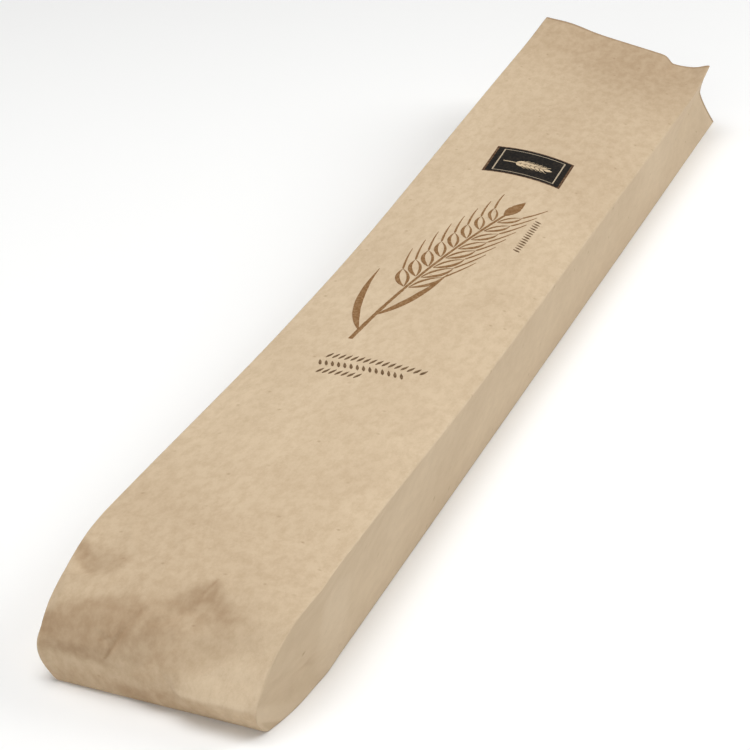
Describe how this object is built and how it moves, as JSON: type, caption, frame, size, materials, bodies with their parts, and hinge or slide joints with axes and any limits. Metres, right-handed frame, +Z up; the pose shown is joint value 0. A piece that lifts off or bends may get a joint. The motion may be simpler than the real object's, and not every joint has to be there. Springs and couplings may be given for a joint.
{
  "type": "paper baguette bag",
  "caption": "Long narrow gusseted kraft paper bread bag lying on its back panel, bottom end rolled under and far end open.",
  "frame": {"origin": "centre of the underside's bounding box, on the surface that the bag lies on", "axes": "+Y along the bag from its bottom fold to its open mouth, +X across it towards the gusset that shows, +Z up through the front panel"},
  "size_m": [0.102, 0.618, 0.0564],
  "materials": {
    "kraft_paper": "matt unbleached brown paper with a dark brown and black ink print on the front panel"
  },
  "bodies": {
    "root": {"bag": "kraft_paper"}
  },
  "joints": []
}
